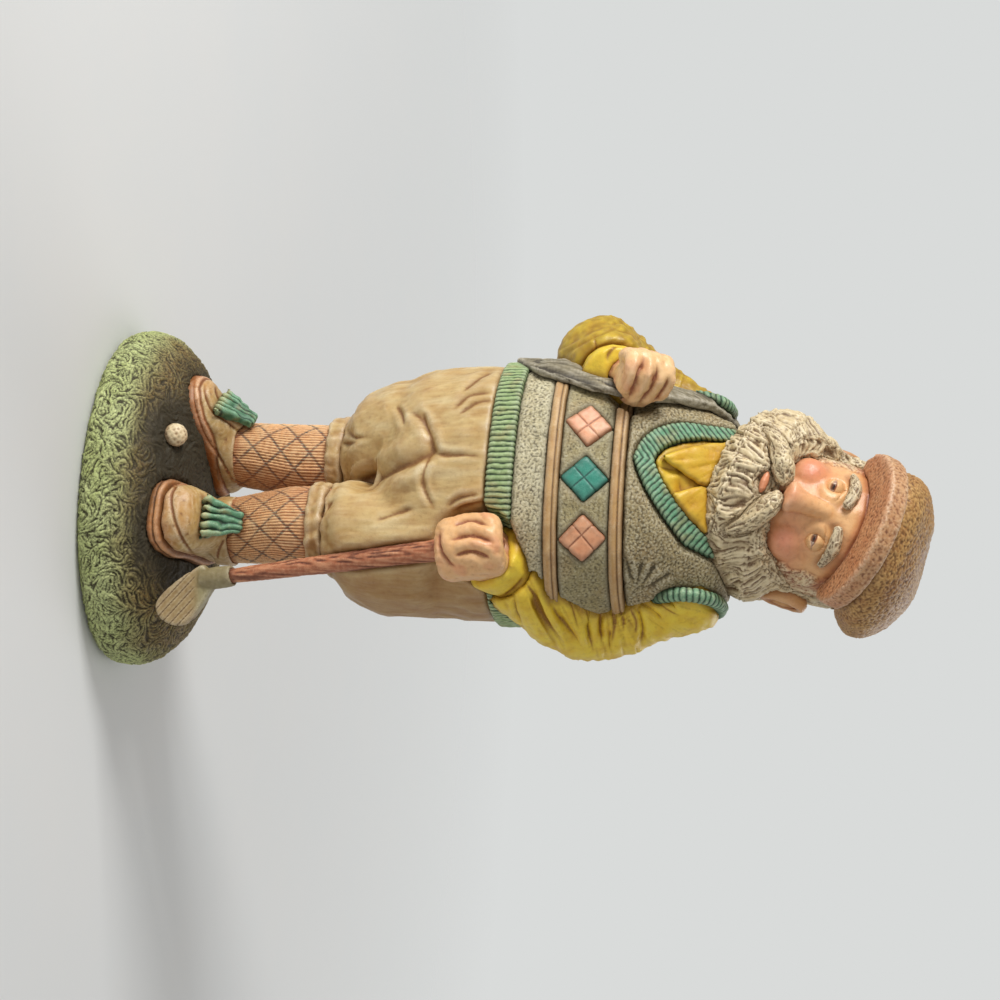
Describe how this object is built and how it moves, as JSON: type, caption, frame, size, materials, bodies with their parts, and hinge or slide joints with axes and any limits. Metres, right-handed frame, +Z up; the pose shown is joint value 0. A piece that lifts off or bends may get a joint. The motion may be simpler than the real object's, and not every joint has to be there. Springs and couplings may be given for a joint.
{
  "type": "painted figurine",
  "caption": "Hand-painted cast figurine of a stout bearded golfer in a flat cap and vest, holding a club and a shoulder strap, on an oval grass base.",
  "frame": {"origin": "centre of the base's flat underside", "axes": "+Z up, the figure faces -Y, +X is the figure's left"},
  "size_m": [0.0655, 0.0459, 0.1412],
  "materials": {
    "grass": "stippled matt green paint with a brown wash",
    "ball": "cream paint with brown wash in the pits",
    "sole": "orange-brown paint, satin",
    "shoe": "tan paint with a brown wash, satin",
    "kiltie": "teal paint with a dark wash, satin",
    "sock": "orange-brown ribbed paint with a dark lattice",
    "trousers": "khaki paint with a brown wash",
    "rib": "green paint, dark between the ribs",
    "vest": "grey stippled paint with dark pits",
    "band": "tan paint with dark edges",
    "peach": "peach paint with a brown wash",
    "teal": "teal paint with a dark wash",
    "shirt": "yellow paint with an orange-brown wash",
    "skin": "peach paint, rosy on the cheeks, satin",
    "shaft": "reddish-brown paint, satin",
    "iron": "bone-coloured paint with a brown wash",
    "strap": "grey paint with a dark wash",
    "hair": "grey-taupe paint with brown grooves",
    "eye": "glossy painted eye",
    "cap": "brown-tan stippled paint",
    "brim": "pinkish-tan stippled paint"
  },
  "bodies": {
    "root": {"grass_base": "grass", "golf_ball": "ball", "right_shoe_sole": "sole", "left_shoe_sole": "sole", "right_shoe_upper": "shoe", "left_shoe_upper": "shoe", "right_shoe_kiltie": "kiltie", "left_shoe_kiltie": "kiltie", "right_sock": "sock", "left_sock": "sock", "right_knee_band": "trousers", "left_knee_band": "trousers", "plus_fours": "trousers", "waist_rib": "rib", "neck_rib": "rib", "right_armhole_rib": "rib", "left_armhole_rib": "rib", "vest_skirt": "vest", "vest_panel": "vest", "vest_chest": "vest", "lower_band": "band", "upper_band": "band", "right_diamond": "peach", "left_diamond": "peach", "middle_diamond": "teal", "shirt_front": "shirt", "right_collar": "shirt", "left_collar": "shirt", "right_sleeve": "shirt", "left_sleeve": "shirt", "right_cuff": "shirt", "left_cuff": "shirt", "right_hand": "skin", "left_hand": "skin", "face": "skin", "right_ear": "skin", "left_ear": "skin", "lower_lip": "skin", "club_shaft": "shaft", "club_head": "iron", "strap_chest": "strap", "strap_hip": "strap", "strap_back": "strap", "beard": "hair", "hair": "hair", "right_eyebrow": "hair", "left_eyebrow": "hair", "right_moustache": "hair", "left_moustache": "hair", "right_eye": "eye", "left_eye": "eye", "cap_crown": "cap", "cap_brim": "brim"}
  },
  "joints": []
}
